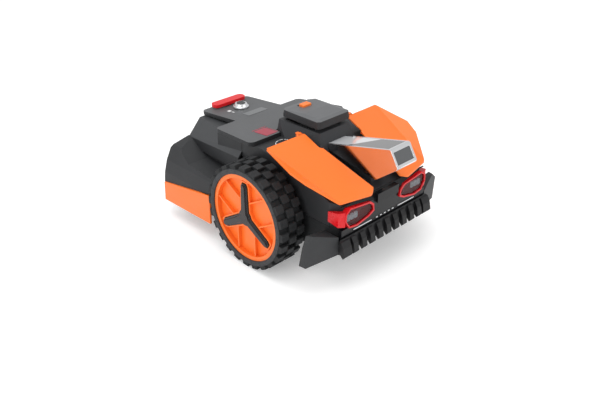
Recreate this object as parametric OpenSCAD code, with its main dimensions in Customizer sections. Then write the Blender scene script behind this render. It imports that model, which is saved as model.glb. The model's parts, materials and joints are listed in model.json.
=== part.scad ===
// Robotic lawn mower with two large driven wheels, a camera head on the nose and a
// console at the tail. Front is -Y, the machine's right side is -X, +Z is up, and the
// origin is on the ground under the middle of the machine.

/* [Overall] */
// Length from the chin of the camera head to the rear bumper
overall_l = 634; // [600:1:765]
// Width over the outer faces of the drive tyres
track_w = 470; // [440:1:570]

/* [Drive wheels] */
// Outer radius of the drive tyre over its lugs, which is also the axle height
wheel_r = 127; // [115:1:153]
// Width of the drive tyre
tyre_w = 70; // [55:1:84]
// Position of the axle along the machine, from the middle
wheel_y = -47; // [-60:1:-35]
// Height of the tread lugs
lug_h = 9; // [5:1:11]
// Lugs in each row of the tread
lug_count = 24; // [16:2:30]
// Radius of the orange wheel disc
disc_r = 106; // [95:1:108]
// Radius of the drive shaft
shaft_r = 8; // [6:0.5:10]

/* [Casters] */
// Radius of the rear caster wheel
caster_r = 40; // [32:1:42]
// Width of the rear caster wheel
caster_w = 28; // [20:1:34]
// Distance of each caster swivel from the centre line
caster_x = 118; // [100:1:126]
// Distance from the swivel axis to the caster axle
caster_trail = 22; // [14:1:24]
// Radius of the swivel pin
swivel_r = 6; // [5:0.5:8]

/* [Cutting unit] */
// Position of the cutting spindle along the machine
cut_y = 39; // [30:1:45]
// Radius of the cutting disc
cut_disc_r = 72; // [60:1:76]
// Height of the blades over the ground at the middle setting
cut_h = 48; // [42:1:52]
// Radius of the spindle
spindle_r = 5; // [4:0.5:7]
// Radius of each blade's pivot screw
blade_pin_r = 2.5; // [2:0.25:3]
// Radius of the guide posts of the height adjustment
post_r = 4; // [3:0.5:5]

/* [Body] */
// Thickness of the moulded walls
wall = 4; // [3:0.5:5]
// Thickness of the orange hood panels
hood_t = 5; // [3:0.5:7]
// Thickness of the console slab
slab_t = 10; // [8:0.5:12]
// Half width of the console at the tail
console_hw = 77; // [70:1:85]

/* [Battery hatch] */
// Width of the battery hatch
hatch_w = 106; // [80:1:108]
// Radius of the hatch hinge pin
hinge_r = 2.5; // [2:0.25:3]

/* [Controls] */
// Length of the stop bar
stop_l = 104; // [80:1:110]
// Radius of the selector knob
knob_r = 18; // [14:0.5:20]

/* [Camera head] */
// Width of the camera head
head_w = 66; // [56:1:72]

/* [Finger guard] */
// Number of teeth in the guard under the nose
tooth_count = 11; // [7:2:13]

/* [Hidden] */
fit = 0.05;          // radial running clearance of shafts and pins
gap = 0.3;           // clearance between neighbouring bodies
$fn = 64;

reach = 20;                              // chin and rear bumper, past the covers
hl = overall_l / 2 - reach;              // half length of the covers
axle_z = wheel_r;
tub_hw = track_w / 2 - tyre_w - 15;      // half width of the body between the wheels
skirt_x = track_w / 2 - 15;              // outer face of the rear side skirts
rear_hw = skirt_x - 20;                  // half width of the rear tub
deck_hw = tub_hw - 19;                   // half width of the lower rear body's deck
lamp_x0 = 44;                            // inner end of each lamp
lamp_x1 = tub_hw - 11;                   // outer end of each lamp
lamp_rim = 3.6;                          // width of the red ring round each lamp

z_floor = axle_z - 49;                   // underside of the front tub
z_rear_floor = axle_z - 27;              // underside of the rear tub
z_rim = axle_z + 23;                     // joint between the tub and the covers
z_deck = axle_z + 41;                    // top of the lower rear body
z_console = axle_z + 118;                // top of the console at its tail
z_slab0 = axle_z + 145;                  // top of the console slab above the origin
z_hatch = axle_z + 199;                  // top of the battery hatch
z_hinge = axle_z + 185;                  // hatch hinge axis

y_nose = -hl;
y_chin = y_nose - reach;                 // most forward edge of the camera head
y_bumper = hl + reach;                   // rear face of the bumper
y_fascia = -hl + 33;                     // front face of the black fascia
y_cover = y_fascia + 8.5;                // front wall of the front cover and the tub
y_split = 50;                            // joint between the front cover and the upper body
y_step = wheel_y + wheel_r + 20;         // step from the front tub to the rear tub
y_tail = hl - 13;                        // rear wall of the tub
y_pad = 6;                               // front edge of the badge pads
y_caster = hl - 85;                      // caster swivel axes
y_stop = hl - 19;                        // middle of the stop bar
y_knob = hl - 70;                        // selector axis
hatch_y0 = -106;                         // front edge of the battery hatch
hatch_y1 = 24;                           // rear edge of the battery hatch
y_hinge = hatch_y0 + 14;                 // hatch hinge axis
y_head = -94;                            // rear end of the camera head

slab_a = atan((z_slab0 - z_console) / (hl - 12));
z_seat = slab_under(-14);                // highest point of the front cover
z_cover0 = axle_z + 76;                  // top of the front cover at its front wall
z_cover1 = axle_z + 129;                 // top of the front cover where it levels out
y_cover1 = -96;

bay_hw = hatch_w / 2 - 8;                // half width of the battery bay
bay_y0 = hatch_y0 + 25;                  // front of the battery bay
bay_y1 = hatch_y1 - 11;                  // rear of the battery bay
z_bay = axle_z + 80;                     // floor of the battery bay

hood_w = tub_hw + 48;                    // widest reach of a hood panel
post_hood_x = tub_hw - 46;               // posts under each hood panel
hood_slope = 113 / (hl - 29);            // fall of the hood panels towards the nose

z_head_front = axle_z + 187;
z_head_rear = axle_z + 138;
z_chin = axle_z + 150;

z_carriage = z_floor + 62;               // underside of the lift carriage
post_x = 62;                             // guide posts, either side of the spindle
post_y = 30;                             // guide posts, ahead of and behind the spindle
screw_y = 50;                            // lift screw behind the spindle
screw_r = 3;
u_web = tyre_w - 24;                     // wheel web, from the wheel's inner face
rib_off = 28.5;                          // wheel ribs, from the middle line between two arms
plunger_r = 8;                           // plunger under the stop bar
knob_shaft_r = 6;                        // shaft under the selector

// ---- shared shapes ------------------------------------------------------------------

// The convex solid around a list of points.
module blob(pts) {
    hull() polyhedron(points = pts, faces = [for (i = [0:len(pts) - 3]) [i, i + 1, i + 2]]);
}

// The point list and its mirror image across the centre line.
function both(pts) = concat(pts, [for (p = pts) [-p[0], p[1], p[2]]]);

// A flat outline's points at two heights, each given by a function of place.
function between(pts, top, t) = concat([for (i = [0:len(pts) - 1]) [pts[i][0], pts[i][1], top[i]]],
                                       [for (i = [0:len(pts) - 1]) [pts[i][0], pts[i][1], top[i] - t]]);

// A profile in the Y-Z plane drawn out along X between x0 and x1.
module along_x(x0, x1) {
    translate([x0, 0, 0]) rotate([90, 0, 90]) linear_extrude(x1 - x0) children();
}

// A profile in the X-Z plane drawn out along Y between y0 and y1.
module along_y(y0, y1) {
    translate([0, y1, 0]) rotate([90, 0, 0]) linear_extrude(y1 - y0) children();
}

// A rod along X between x0 and x1.
module rod_x(r, x0, x1) {
    translate([x0, 0, 0]) rotate([0, 90, 0]) cylinder(h = x1 - x0, r = r);
}

// A rectangle with rounded corners, centred on the origin.
module round_rect(w, d, r) {
    union() {
        square([w - 2 * r, d], center = true);
        square([w, d - 2 * r], center = true);
        for (sx = [-1, 1], sy = [-1, 1]) translate([sx * (w / 2 - r), sy * (d / 2 - r)]) circle(r = r);
    }
}

// Right-side shapes are drawn at -X; the left side is the mirror image.
module side(s) {
    if (s < 0) children();
    else mirror([1, 0, 0]) children();
}

function slab_top(y) = z_slab0 - y * tan(slab_a);
// Underside of the slab, less a hair so that what it rests on never cuts into it.
function slab_under(y) = slab_top(y) - slab_t / cos(slab_a) - fit;

// ---- tub and covers -----------------------------------------------------------------

module front_plan(inset) {
    polygon([[-tub_hw + 18 + inset, y_cover + inset], [tub_hw - 18 - inset, y_cover + inset],
             [tub_hw - inset, y_cover + 23 + inset], [tub_hw - inset, y_step - inset],
             [-tub_hw + inset, y_step - inset], [-tub_hw + inset, y_cover + 23 + inset]]);
}

module rear_plan(inset) {
    polygon([[-rear_hw + inset, y_step - 10 + inset], [rear_hw - inset, y_step - 10 + inset],
             [rear_hw - inset, y_tail - 22], [rear_hw - 20 - inset, y_tail - inset],
             [-rear_hw + 20 + inset, y_tail - inset], [-rear_hw + inset, y_tail - 22]]);
}

module chassis_tub() {
    color("#202224") difference() {
        union() {
            translate([0, 0, z_floor]) linear_extrude(z_rim - z_floor) front_plan(0);
            translate([0, 0, z_rear_floor]) linear_extrude(z_rim - z_rear_floor) rear_plan(0);
            for (s = [-1, 1]) translate([s * caster_x, y_caster, z_rear_floor - 8])
                cylinder(h = 26, r = swivel_r + 7);
            translate([0, cut_y, z_floor - 6]) cylinder(h = 12, r = 44);
        }
        difference() {
            union() {
                translate([0, 0, z_floor + wall]) linear_extrude(z_rim) front_plan(wall);
                translate([0, 0, z_rear_floor + wall]) linear_extrude(z_rim) rear_plan(wall);
            }
            for (s = [-1, 1]) translate([s * caster_x, y_caster, z_rear_floor - 8])
                cylinder(h = 26, r = swivel_r + 7);
            translate([0, cut_y, z_floor - 6]) cylinder(h = 18, r = 44);
        }
        for (s = [-1, 1]) translate([s * caster_x, y_caster, z_floor]) cylinder(h = 80, r = swivel_r + fit);
        translate([0, cut_y, z_floor - 10]) cylinder(h = 40, r = 36);
        translate([0, wheel_y, axle_z]) rod_x(18, -tub_hw - 1, tub_hw + 1);
    }
}

// Cross-section of the lower rear body, with its shoulders, moved in by a wall thickness.
module rear_section(inset) {
    hw = skirt_x - 2 - inset;
    polygon(concat([[-hw, axle_z - 40], [-hw + 4, axle_z - 7], [-hw + 13, axle_z + 24 - inset / 2],
                    [-hw + 28, axle_z + 53 - inset], [-hw + 37, axle_z + 59 - inset],
                    [-deck_hw - 1, axle_z + 69 - inset]],
                   [[deck_hw + 1, axle_z + 69 - inset], [hw - 37, axle_z + 59 - inset],
                    [hw - 28, axle_z + 53 - inset], [hw - 13, axle_z + 24 - inset / 2],
                    [hw - 4, axle_z - 7], [hw, axle_z - 40]]));
}

// Side profile of the shoulders: low behind the wheel, rising to the tail.
module shoulder_profile(inset) {
    polygon([[y_step + gap + inset, axle_z - 60], [y_step + gap + inset, z_rim + 7 - inset],
             [y_step + 100, z_rim + 13 - inset], [y_tail - 24, axle_z + 64 - inset],
             [y_tail - inset, axle_z + 70], [y_tail - inset, axle_z - 60]]);
}

// Lower rear body: it covers the rear tub, and its shoulders rise to the tail.
module rear_body() {
    color("#26282a") difference() {
        intersection() {
            along_y(y_step + gap, y_tail) rear_section(0);
            union() {
                along_x(-track_w, track_w) shoulder_profile(0);
                translate([-deck_hw, y_step + gap, z_rim - 10])
                    cube([2 * deck_hw, y_tail - y_step - gap, z_deck - z_rim + 10]);
            }
            translate([-track_w, 0, 0]) cube([2 * track_w, hl, z_deck + 40]);
        }
        translate([-deck_hw, y_step, z_deck]) cube([2 * deck_hw, hl, 60]);
        flank_solid(-fit, 0);
        translate([0, 0, z_rim - 90]) linear_extrude(90) rear_plan(-gap);
        intersection() {
            along_y(y_step + gap + wall, y_tail - wall) rear_section(wall + 2);
            along_x(-rear_hw + wall, rear_hw - wall) polygon([
                [y_step + gap + wall, z_rim - 1], [y_step + gap + wall, z_rim + 3],
                [y_step + 100, z_rim + 9], [y_tail - 26, z_deck - wall],
                [y_tail - wall, z_deck - wall], [y_tail - wall, z_rim - 1]]);
        }
        along_x(-track_w, track_w) polygon([
            [y_step - 30, axle_z - 90], [y_tail + 10, axle_z - 90], [y_tail + 10, axle_z - 35 + gap],
            [y_tail - 1, axle_z - 34 + gap], [y_step - 4, axle_z - 4 + gap], [y_step - 30, axle_z]]);
    }
}

// The sloping flanks behind the wheels as one solid, moved in by a wall thickness.
module flank_solid(inset, drop) {
    yr = hl - 10 - inset;
    yf = y_split + gap - drop;
    wide = tub_hw + 12 - inset;
    blob(both([[-deck_hw + inset, y_tail - inset, z_deck - drop],
               [-deck_hw + inset, y_tail - inset, axle_z + 66 - inset],
               [-deck_hw + 41 + inset, yr, axle_z + 106 - inset],
               [-deck_hw + 13 + inset, 162, axle_z + 112 - inset],
               [-wide, yf, axle_z + 61 + inset], [-wide, yf, axle_z + 94 - inset],
               [-wide + 16, yf, axle_z + 112 - inset], [-deck_hw + inset, yf, z_deck - drop]]));
}

// The block under the badge pads, moved in by a wall thickness.
module pad_block(inset, drop) {
    yf = y_split + gap - drop;
    y1 = 150 - inset;
    z0 = z_deck + 40 - 10 * drop;
    blob(both([[-tub_hw + 8 + inset, y1, z0], [-tub_hw + 8 + inset, y1, slab_under(y1 + inset) - inset],
               [-tub_hw + inset, yf, z0], [-tub_hw + inset, yf, slab_under(yf + inset) - inset]]));
}

// Upper rear body: sloping grey flanks that widen towards the wheels, the block under the
// console and the wider block under the badge pad.
module upper_body() {
    yf = y_split + gap;
    color("#55575a") difference() {
        union() {
            flank_solid(0, 0);
            pad_block(0, 0);
            blob(both([[-console_hw + 9, 148, z_deck + 40], [-console_hw + 9, 148, slab_under(148)],
                       [-console_hw + 9, hl - 8, axle_z + 90],
                       [-console_hw + 9, hl - 8, slab_under(hl - 8)]]));
            translate([-tub_hw, yf, z_rim]) cube([2 * tub_hw, y_step - yf, z_deck - z_rim + 26]);
        }
        flank_solid(wall, 1);
        translate([-tub_hw + wall, yf - 1, z_rim - 1])
            cube([2 * (tub_hw - wall), y_step - yf - wall + 1, z_deck - z_rim + 40]);
        pad_block(wall, 1);
        control_bores();
    }
}

// Outer solid of the front cover, moved in by a wall thickness.
module cover_solid(inset, drop) {
    blob(both([[-tub_hw + 18 + inset, y_cover + inset, z_rim - drop],
               [-tub_hw + inset, y_cover + 23 + inset / 2, z_rim - drop],
               [-tub_hw + inset, y_split + drop, z_rim - drop],
               [-tub_hw + 18 + inset, y_cover + inset, z_cover0 - inset],
               [-tub_hw + inset, y_cover + 23 + inset / 2, cover_z(y_cover + 23) - 1.6 - inset],
               [-tub_hw + inset, y_cover1, z_cover1 - inset], [-tub_hw + inset, -14, z_seat - inset],
               [-tub_hw + inset, y_split + drop, slab_under(y_split + drop) - inset]]));
}

// Height of the cover's deck.
function cover_z(y) = y > y_cover1
    ? z_cover1 + (y - y_cover1) / (-14 - y_cover1) * (z_seat - z_cover1)
    : z_cover0 + (y - y_cover) / (y_cover1 - y_cover) * (z_cover1 - z_cover0);

// Front cover: black side walls under the hood panels and the deck they stand on.
module front_cover() {
    color("#1b1c1e") difference() {
        cover_solid(0, 0);
        cover_solid(wall, 1);
        translate([-bay_hw - 4 - gap, bay_y0 - 4 - gap, z_bay - 20])
            cube([2 * (bay_hw + 4 + gap), bay_y1 - bay_y0 + 8 + 2 * gap, 120]);
    }
}

// Points along a round corner.
function arc(x, y, r, a0, a1) = [for (i = [0:6]) [x + r * cos(a0 + (a1 - a0) * i / 6),
                                                  y + r * sin(a0 + (a1 - a0) * i / 6)]];

// Console slab: narrow at the tail, wide under the badge pad, notched round the hatch base.
module top_slab() {
    ys = 160;
    r = 14;
    pad_rear = tub_hw - 8;
    pad_front = tub_hw + 8;
    half = concat(arc(-console_hw + r, hl / cos(slab_a) - r, r, 90, 180), [[-console_hw, ys]],
                  arc(-pad_rear + r, ys - r, r, 90, 175), arc(-pad_front + r, y_pad + r, r, 175, 270),
                  [[-hatch_w / 2 - 14.5, y_pad], [-hatch_w / 2 - 7, hatch_y1 + 5]]);
    color("#6b6d70") difference() {
        translate([0, 0, z_slab0]) rotate([-slab_a, 0, 0]) translate([0, 0, -slab_t])
            linear_extrude(slab_t)
                polygon(concat(half, [for (i = [len(half) - 1:-1:0]) [-half[i][0], half[i][1]]]));
        control_bores();
    }
}

// Holes for the stop bar's plunger and the selector's shaft.
module control_bores() {
    translate([0, y_stop, slab_under(y_stop) - 14]) cylinder(h = 60, r = plunger_r + gap);
    translate([0, y_knob, slab_under(y_knob) - 14]) cylinder(h = 60, r = knob_shaft_r + fit);
}

module side_skirt(s) {
    color("#ff7a2c") side(s) difference() {
        along_x(-skirt_x, -rear_hw - gap) polygon([
            [y_step - 2, axle_z - 83], [y_tail + 2, axle_z - 87],
            [y_tail - 1, axle_z - 34], [y_step - 4, axle_z - 4]]);
        translate([-skirt_x + 6, y_step - 20, 0]) cube([40, y_tail, z_rear_floor - 2]);
        translate([-skirt_x + 4, y_step - 20, axle_z - 10 - gap]) cube([60, y_tail, 60]);
    }
}

module rear_bumper() {
    color("#1d1e20") difference() {
        translate([0, 0, axle_z - 67]) linear_extrude(86) polygon([
            [-rear_hw + 26, y_tail + gap], [rear_hw - 26, y_tail + gap],
            [rear_hw - 40, y_bumper], [-rear_hw + 40, y_bumper]]);
        translate([0, 0, axle_z - 70]) linear_extrude(43) polygon([
            [-rear_hw + 34, y_tail - 1], [rear_hw - 34, y_tail - 1],
            [rear_hw - 46, y_bumper - 6], [-rear_hw + 46, y_bumper - 6]]);
        for (s = [-1, 1]) translate([s * 40 - 15, y_bumper - 3, axle_z - 14]) cube([30, 10, 16]);
    }
}

// Two charging plates let into the rear bumper.
module charge_contacts() {
    color("#c9b37a") for (s = [-1, 1])
        translate([s * 40 - 15, y_bumper - 3, axle_z - 14]) cube([30, 2.5, 16]);
}

// ---- battery bay --------------------------------------------------------------------

// Raised base of the hatch: flared walls on the deck, the bay box and two hinge arms.
module hatch_base() {
    hw = hatch_w / 2;
    zt = axle_z + 169;
    color("#3a3c3f") difference() {
        union() {
            difference() {
                blob(both([[-hw - 10, hatch_y0 - 16, cover_z(hatch_y0 - 16) - 2], [-hw + 4, hatch_y0 + 1, zt],
                           [-hw - 19, -14, z_seat - 2], [-hw - 6, -16, axle_z + 150],
                           [-hw - 6, hatch_y1 + 4, slab_under(hatch_y1 + 4) - 2], [-hw - 1, hatch_y1, zt]]));
                translate([0, 0, fit]) cover_solid(0, 0);
            }
            translate([-bay_hw - 4, bay_y0 - 4, z_bay - 4])
                cube([2 * bay_hw + 8, bay_y1 - bay_y0 + 8, z_seat + 12 - z_bay]);
            for (s = [-1, 1]) translate([s * (hw - 15), y_hinge, z_hinge]) {
                rod_x(4.2, -4, 4);
                along_x(-4, 4) polygon([[1, -4], [6.5, -8], [6.5, -17], [10.5, -17], [10.5, -2], [2.9, 2.9]]);
            }
        }
        translate([-bay_hw, bay_y0, z_bay]) cube([2 * bay_hw, bay_y1 - bay_y0, 120]);
        translate([0, y_hinge, z_hinge]) rod_x(hinge_r + fit, -hw, hw);
        along_x(-head_w / 2 - gap, head_w / 2 + gap) polygon([
            [y_head + gap, z_seat - 30], [y_head + gap, z_head_rear + gap],
            [y_head - 60, head_top(y_head - 60) + gap], [y_head - 60, z_seat - 30]]);
    }
}

// Hatch lid with its hinge pin, closed.
module battery_hatch() {
    hw = hatch_w / 2;
    zb = axle_z + 179;
    color("#5c5e61") {
        difference() {
            blob(both([[-hw, hatch_y0 + 4, zb], [-hw, hatch_y1 - 14, zb], [-hw + 12, hatch_y1, zb],
                       [-hw + 8, hatch_y0, zb],
                       [-hw, hatch_y0 + 8, z_hatch - 3], [-hw + 8, hatch_y0 + 2, z_hatch - 3],
                       [-hw + 1, hatch_y1 - 16, z_hatch - 4], [-hw + 14, hatch_y1 - 3, z_hatch - 6],
                       [-hw + 12, hatch_y0 + 12, z_hatch], [-hw + 12, hatch_y0 + 60, z_hatch]]));
            blob(both([[-hw + 3, hatch_y0 + 7, zb - 1], [-hw + 3, hatch_y1 - 16, zb - 1],
                       [-hw + 14, hatch_y1 - 3, zb - 1], [-hw + 3, hatch_y0 + 11, z_hatch - 9],
                       [-hw + 4, hatch_y1 - 18, z_hatch - 10], [-hw + 15, hatch_y1 - 5, z_hatch - 10]]));
            translate([-13, -18, z_hatch - 12]) cube([26, 24, 20]);
        }
        translate([0, y_hinge, z_hinge]) rod_x(hinge_r, -hw + 10.5, hw - 10.5);
        for (s = [-1, 1]) translate([s * (hw - 22.5), y_hinge, z_hinge]) {
            rod_x(4.5, -3, 3);
            translate([-3, -4.5, 0]) cube([6, 9, z_hatch - z_hinge - 6]);
        }
    }
}

module hatch_latch() {
    color("#ff8a3c") translate([0, 0, z_hatch]) {
        translate([-12.7, -17.5, -5.5]) cube([25.4, 17, 8.5]);
        translate([-10, -14, -11]) cube([20, 10, 5.6]);
    }
}

module battery_pack() {
    pack_h = 72;
    color("#2b2d30") {
        translate([-bay_hw + 1, bay_y0 + 1, z_bay]) cube([2 * bay_hw - 2, bay_y1 - bay_y0 - 2, pack_h]);
        translate([-24, bay_y0 + 20, z_bay + pack_h]) cube([48, 40, 6]);
    }
}

// Control board on the front of the tub floor.
module main_board() {
    color("#1f6b46") translate([0, (y_cover + wheel_y) / 2 - 10, z_floor + wall]) {
        for (sx = [-1, 1], sy = [-1, 1]) translate([sx * 55, sy * 35, 0]) cylinder(h = 8, r = 4);
        translate([-65, -45, 8]) cube([130, 90, 2]);
        translate([-30, -20, 10]) cube([42, 40, 12]);
        translate([25, -32, 10]) cube([24, 60, 9]);
    }
}

// ---- hood panels --------------------------------------------------------------------

function hood_main_z(x, y) = axle_z + 206 - 0.054 * x + hood_slope * y;
function hood_wing_z(x, y) = hood_main_z(hood_fold(y), y) + 0.5 * (x - hood_fold(y));
function hood_fold(y) = hood_w - 15 + 0.194 * (y + 71) * (218 / (hl - 79));

module hood(s) {
    ye = y_nose + 38;
    x0 = head_w / 2 + 11;
    inner = [[x0 + 28, -78], [hood_w - 15, -71], [hood_fold(ye), ye], [x0 + 18, y_nose + 21],
             [x0, y_nose + 32], [x0 + 28, -104]];
    fold_end = hood_fold(ye);
    outer = [[hood_fold(-71), -71], [hood_w, -162], [hood_w - 9, -197], [hood_w - 27, y_nose + 74],
             [fold_end, ye]];
    color("#ff7a2c") mirror([s < 0 ? 1 : 0, 0, 0]) {
        difference() {
            blob(between(inner, [for (p = inner) hood_main_z(p[0], p[1])], hood_t));
            translate([x0 - 14, -130, 0]) cube([41, 100, 600]);
        }
        blob(between(outer, [for (p = outer) hood_wing_z(p[0], p[1])], hood_t));
        translate([x0 + 34, -78, hood_main_z(x0 + 40, -78) - 3]) cube([12, 14, 6]);
        difference() {
            for (y = [-120, y_nose + 70]) translate([post_hood_x, y, cover_z(y) - 4])
                cylinder(h = hood_main_z(post_hood_x, y) - hood_t + 6 - cover_z(y), r = 6);
            translate([0, 0, fit]) cover_solid(0, 0);
        }
    }
}

// ---- nose ---------------------------------------------------------------------------

module lamp_outline(inset) {
    x0 = -lamp_x0;
    x1 = -lamp_x1;
    polygon([[x0 - inset, axle_z + 36 + inset], [x0 - 2 - inset, axle_z + 54 - inset],
             [x0 - 14 - inset, axle_z + 64 - inset], [x1 + 15 + inset / 2, axle_z + 72 - inset],
             [x1 + 1 + inset, axle_z + 60], [x1 + inset, axle_z + 44],
             [x1 + 13 + inset / 2, axle_z + 24 + inset], [x1 + 39, axle_z + 20 + inset],
             [x0 - 16 - inset / 2, axle_z + 28 + inset]]);
}

module front_fascia() {
    color("#151617") difference() {
        union() {
            along_x(-tub_hw + 6, tub_hw - 6) polygon([
                [y_cover - gap, axle_z - 20], [y_cover - gap, axle_z + 76], [y_fascia + 6, axle_z + 76],
                [y_fascia - 2, axle_z + 62], [y_fascia, axle_z + 4], [y_fascia + 4, axle_z - 20]]);
            translate([-36, y_fascia - 8, axle_z + 52]) cube([72, 14, 22]);
        }
        for (s = [-1, 1]) side(s) along_y(y_fascia - 20, y_cover + 1) lamp_outline(-gap);
        translate([0, y_fascia - 0.8, axle_z + 11]) cube([2 * tub_hw - 82, 3, 3], center = true);
        for (s = [-1, 1]) side(s) translate([-tub_hw, y_cover - 20, axle_z + 22]) cube([24, 40, 52]);
    }
}

// Red lamp housing: a ring on the nose with a shell that turns round the corner.
module lamp_housing(s) {
    color("#d81f2a") side(s) {
        difference() {
            along_y(y_fascia - 6, y_cover - gap) lamp_outline(0);
            along_y(y_fascia - 10, y_fascia + 4) lamp_outline(lamp_rim);
        }
        difference() {
            blob([[-lamp_x1 + 1, y_fascia - 4, axle_z + 30], [-lamp_x1 + 1, y_fascia - 4, axle_z + 66],
                  [-tub_hw - 4, y_cover + 23, axle_z + 62], [-tub_hw - 4, y_cover + 23, axle_z + 38],
                  [-tub_hw - 2, y_fascia + 4, axle_z + 32], [-tub_hw - 2, y_fascia + 4, axle_z + 66],
                  [-tub_hw - gap, y_cover + 23, axle_z + 62], [-tub_hw - gap, y_cover + 23, axle_z + 38],
                  [-lamp_x1 + 11, y_fascia + 2, axle_z + 32], [-lamp_x1 + 11, y_fascia + 2, axle_z + 64]]);
            translate([0, 0, z_floor]) linear_extrude(200) front_plan(-gap);
            along_y(y_fascia - 10, y_fascia + 4) lamp_outline(lamp_rim);
        }
    }
}

module lamp_lens(s) {
    color("#3b4046") side(s) along_y(y_fascia - 3, y_fascia - 1) lamp_outline(lamp_rim);
}

module lamp_leds() {
    color("#eef2f5") for (s = [-1, 1], i = [0:2])
        translate([s * (lamp_x1 - 17 - 12 * i) - 4, y_fascia - 0.5, axle_z + 38]) cube([8, 4.5, 14]);
}

module trim_line() {
    color("#d5d8da") {
        for (s = [-1, 1]) side(s) translate([-tub_hw + 44, y_fascia - 1.3, axle_z + 9.7])
            cube([60, 1.6, 2.2]);
        for (i = [-2:2]) translate([i * 14 - 3, y_fascia - 1.3, axle_z + 9.7]) cube([6, 1.6, 2.2]);
    }
}

// Guard under the nose: a rail with long teeth that reach forward and down.
module finger_guard() {
    guard_hw = tub_hw + 4;
    pitch = 2 * guard_hw / tooth_count;
    color("#17181a") {
        along_x(-tub_hw, tub_hw) polygon([
            [y_cover - gap, axle_z - 20.3], [y_fascia + 3, axle_z - 20.3], [y_fascia - 1, axle_z + 3],
            [y_fascia - 4, axle_z + 3], [y_fascia - 7, axle_z - 20], [y_fascia - 4, axle_z - 30],
            [y_cover - gap, axle_z - 30]]);
        for (i = [0:tooth_count - 1]) {
            x = -guard_hw + pitch * (i + 0.5);
            w = i == 0 || i == tooth_count - 1 ? pitch * 0.48 : pitch * 0.27;
            along_x(x - w, x + w) polygon([
                [y_fascia - 3, axle_z + 1], [y_fascia - 8, axle_z - 1], [y_fascia - 15, axle_z - 14],
                [y_fascia - 19, axle_z - 34], [y_fascia - 14, axle_z - 40], [y_fascia - 4.5, axle_z - 31]]);
        }
    }
}

// Flared guard at each front corner, ahead of the tyre.
module corner_guard(s) {
    color("#2e3032") side(s) {
        difference() {
            blob([[-tub_hw - gap, y_fascia + 2, axle_z + 8], [-tub_hw - gap, y_fascia + 44, axle_z + 8],
                  [-tub_hw - gap, y_fascia + 2, axle_z - 36], [-tub_hw - gap, y_fascia + 44, axle_z - 30],
                  [-track_w / 2 + 27, y_fascia + 22, axle_z + 26],
                  [-track_w / 2 + 21, y_fascia + 38, axle_z + 24],
                  [-track_w / 2 + 2, y_fascia + 30, axle_z + 6],
                  [-track_w / 2 + 2, y_fascia + 40, axle_z - 44],
                  [-track_w / 2 + 10, y_fascia + 28, axle_z - 50],
                  [-track_w / 2 + 16, y_fascia + 42, axle_z - 50]]);
            blob([[-tub_hw - 12, y_fascia + 60, axle_z - 60], [-tub_hw - 12, y_fascia + 60, axle_z + 4],
                  [-track_w / 2 + 8, y_fascia + 60, axle_z + 18],
                  [-track_w / 2 + 8, y_fascia + 60, axle_z - 60],
                  [-tub_hw - 12, y_fascia + 12, axle_z - 60], [-tub_hw - 12, y_fascia + 14, axle_z + 2],
                  [-track_w / 2 + 8, y_fascia + 34, axle_z + 14],
                  [-track_w / 2 + 12, y_fascia + 34, axle_z - 60]]);
            translate([0, wheel_y, axle_z]) rod_x(wheel_r + 10, -track_w, -tub_hw - 8);
        }
    }
}

// ---- camera head --------------------------------------------------------------------

module head_profile() {
    polygon([[y_head, z_head_rear], [y_head - 6, z_head_rear - 6], [y_nose + 50, axle_z + 104],
             [y_nose + 38, axle_z + 103], [y_chin + 3, z_chin - 5], [y_chin, z_chin],
             [y_nose + 1, z_head_front - 2], [y_nose + 4, z_head_front]]);
}

// Top, underside and forward-leaning front of the camera head.
function head_top(y) = z_head_rear + (y - y_head) / (y_nose + 4 - y_head) * (z_head_front - z_head_rear);
function head_under(y) = axle_z + 104
    + (y - y_nose - 50) / (y_head - 6 - y_nose - 50) * (z_head_rear - 6 - axle_z - 104);
function head_face(z) = y_chin + (z - z_chin) / (z_head_front - 2 - z_chin) * (y_nose + 1 - y_chin);
z_window0 = z_chin + 5;                  // lower edge of the front window
z_window1 = z_head_front - 7;            // upper edge of the front window

module camera_shell() {
    hw = head_w / 2;
    color("#c9ccd0") difference() {
        along_x(-hw, hw) head_profile();
        blob(both([[-hw + 5, y_nose + 11, head_top(y_nose + 11) - 3], [-hw + 5, -112, head_top(-112) - 3],
                   [-hw + 5, y_nose + 11, head_top(y_nose + 11) + 9], [-hw + 5, -112, head_top(-112) + 9]]));
        blob(both([[-hw + 8, y_nose + 22, axle_z + 122], [-hw + 8, y_nose + 60, axle_z + 112],
                   [-hw + 8, y_nose - 3, z_chin + 2], [-hw + 8, y_nose + 2, z_head_front - 14],
                   [-hw + 8, -150, head_top(-150) - 10]]));
        along_x(-hw + 6, hw - 6) polygon([
            [head_face(z_window0) - 5, z_window0], [head_face(z_window1) - 5, z_window1],
            [head_face(z_window1) + 16, z_window1], [head_face(z_window0) + 16, z_window0]]);
    }
}

module camera_glass() {
    hw = head_w / 2;
    color("#1c2126") blob(both([
        [-hw + 5, y_nose + 11, head_top(y_nose + 11) - 3], [-hw + 5, -112, head_top(-112) - 3],
        [-hw + 5, y_nose + 11, head_top(y_nose + 11) - 0.4], [-hw + 5, -112, head_top(-112) - 0.4]]));
}

module camera_window() {
    hw = head_w / 2;
    color("#1c2126") along_x(-hw + 6, hw - 6) polygon([
        [head_face(z_window0) + 1, z_window0], [head_face(z_window1) + 1, z_window1],
        [head_face(z_window1) + 4, z_window1], [head_face(z_window0) + 4, z_window0]]);
}

// Two camera barrels on a bracket behind the window.
module camera_modules() {
    y_module = head_face(z_chin + 14) + 9;
    color("#101214") {
        for (s = [-1, 1]) translate([s * 13, y_module, z_chin + 14]) rotate([-90, 0, 0]) {
            cylinder(h = 16, r = 6.5);
            cylinder(h = 20, r = 5);
        }
        translate([-24, y_module + 16, z_chin + 2.5]) cube([48, 3, 17]);
    }
}

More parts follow.
